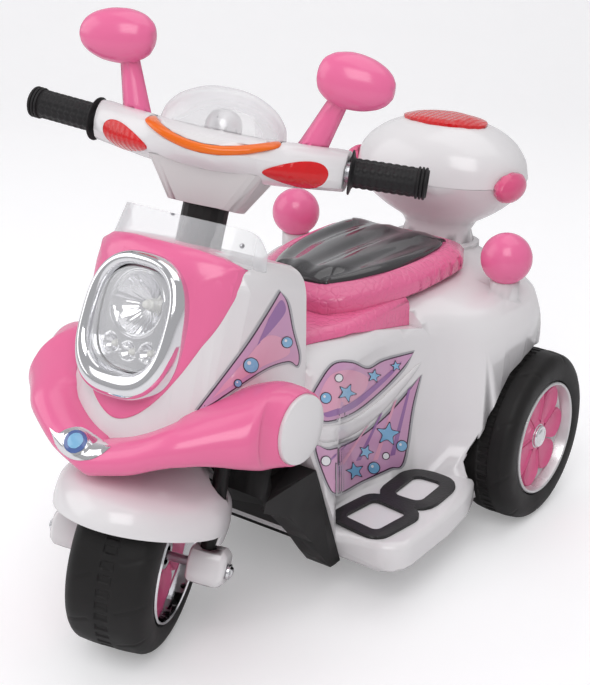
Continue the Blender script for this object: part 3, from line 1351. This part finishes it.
def mirror(name, side, steer):
    """Pink mirror: a tapered stem and an egg-shaped head, flat towards the rider."""
    rings = []
    for along, half in ((-0.038, 0.35), (-0.034, 0.62), (-0.024, 0.87), (-0.008, 1.0), (0.010, 0.95),
                        (0.024, 0.78), (0.033, 0.56), (0.038, 0.30)):
        rings.append([(side * (MIRROR_X + along), MIRROR_Y + y, MIRROR_Z + z - 0.05 * along)
                      for y, z in oval(0.0240 * half, 0.0275 * half, 12)])
    head = place(f"mirror_{name}", loft(rings), "pink", steer)
    cut(head, block((-0.3, MIRROR_Y + 0.0130, 0.25), (0.3, 0.1, 0.36)))
    stem = []
    for share in (0.0, 0.25, 0.6, 1.0):
        x = 0.0885 + 0.0220 * share
        y = 0.0050 - 0.0050 * share
        z = 0.2300 + 0.0640 * share
        half_x = 0.0165 - 0.0060 * share
        half_y = 0.0120 - 0.0035 * share
        stem.append([(side * (x + a), y + b, z) for a, b in oval(half_x, half_y, 8, 1.5)])
    join(head, loft(stem))
    cut(head, headset_form(GAP))
    return head




def button(name, x, steer):
    """Round push button on the rider's side of the handlebar housing."""
    profile = [(BUTTON_Y - 0.006, 0.0), (BUTTON_Y - 0.006, BUTTON_R), (BUTTON_Y + 0.0075, BUTTON_R),
               (BUTTON_Y + 0.0090, BUTTON_R - 0.0015), (BUTTON_Y + 0.0090, 0.0)]
    return place(name, revolve(profile, (x, 0.0, BUTTON_Z), "Y", 16), "red", steer)


def front_axle(steer):
    """Bolt through both fork legs with a domed nut at each end."""
    right = [(AXLE_NUT_X, AXLE_R), (AXLE_NUT_X, AXLE_NUT_R), (AXLE_HALF, 0.0060), (AXLE_HALF, 0.0)]
    profile = [(-x, radius) for x, radius in reversed(right)] + right
    return place("front_axle", revolve(profile, (0.0, AXLE_OFFSET, AXLE_DROP), "X", 14), "chrome", steer)


def fork_end_cover(name, side, steer):
    """White moulded cover over the foot of one fork leg."""
    rings = []
    for x, inset in ((0.0560, 0.003), (0.0590, 0.0), (END_COVER_X - 0.0055, 0.0), (END_COVER_X, 0.005)):
        rings.append([(side * x, AXLE_OFFSET + y, AXLE_DROP + 0.002 + z)
                      for y, z in rounded(0.0200 - inset, 0.0200 - inset, 0.0120 - inset, (0.0, 0.0), 2)])
    cover = place(f"fork_end_cover_{name}", loft(rings), "white", steer)
    cut(cover, rod(AXLE_R + GAP, -0.2, 0.2, (AXLE_OFFSET, AXLE_DROP), "X", 16))
    rows = []
    for share in (0.60, 1.03):
        z = (CROWN_TOP - 0.001) * (1 - share) + (AXLE_DROP - 0.012) * share
        section = oval(LEG_R + 0.004, LEG_R + 0.0055, 10)
        rows.append([(side * LEG_X + x, AXLE_OFFSET + y, z) for x, y in section])
    return cut(cover, loft(rows))


def head_bush(name, low, high, flange, frame):
    """Nylon bush between head tube and steerer."""
    bore = STEERER_R + RUNNING
    outer = STEERER_R + BUSH_WALL
    inner_end, outer_end = (low, high) if flange > 0 else (high, low)
    lip = outer_end + flange
    profile = [(inner_end, bore), (inner_end, outer), (outer_end, outer), (outer_end, HEAD_TUBE_R - 0.002),
               (lip, HEAD_TUBE_R - 0.002), (lip, bore)]
    return place(name, revolve(profile, (0.0, 0.0, 0.0), "Z", 14), "nylon", frame)


def main():
    clear_scene()
    tilt = Matrix.Translation(HEAD) @ Matrix.Rotation(-RAKE, 4, "X")
    raked = empty("raked_frame", tilt)
    steer = empty("steering_axis", Matrix.Rotation(STEER_REST, 4, "Z"), raked)
    lid_hinge = empty("lid_hinge", Matrix.Translation((0.0, HINGE_Y, TAIL_SEAM_Z)))

    chassis_base(raked)
    body_shell()
    seat_base()
    seat_top()
    tail_box_lower()
    tail_box_lid(lid_hinge)
    tail_lenses(lid_hinge)
    tail_box_hinge_pin()
    for name, side in (("left", 1), ("right", -1)):
        ball_light(name, side)
        tail_lamp(name, side)
        bumper_cap(name, side)
        rear_wheel(name, side)
        grip(name, side, steer)
        mirror(name, side, steer)
        fork_end_cover(name, side, steer)
    cowl_parts(raked)
    headlamp_parts(raked)
    wind_deflector(raked)
    bumper(raked)
    foot_pad()
    accelerator_pedal()
    battery()
    gearbox_housing()
    drive_motor()
    rear_axle()
    charge_socket()
    rocker("power_switch", SWITCH_X)
    rocker("direction_switch", -SWITCH_X)
    head_bush("head_bush_upper", HEAD_TUBE_TOP - 0.012, HEAD_TUBE_TOP + GAP, 0.003, raked)
    head_bush("head_bush_lower", HEAD_TUBE_LOW - GAP, HEAD_TUBE_LOW + 0.012, -0.003, raked)

    fork(steer)
    front_fender(steer)
    column_cover(steer)
    headset_parts(steer)
    dome_parts(steer)
    handlebar_tube(steer)
    button("horn_button", BUTTON_X, steer)
    button("music_button", -BUTTON_X, steer)
    front_axle(steer)
    centre = Vector((0.0, AXLE_OFFSET, AXLE_DROP))
    tyre("front_tyre", FRONT_TYRE_HALF, centre, steer)
    rim("front_rim", FRONT_TYRE_HALF, centre, steer, FRONT_SPOKES, AXLE_R + RUNNING, 0.0540)


if __name__ == "__main__":
    main()
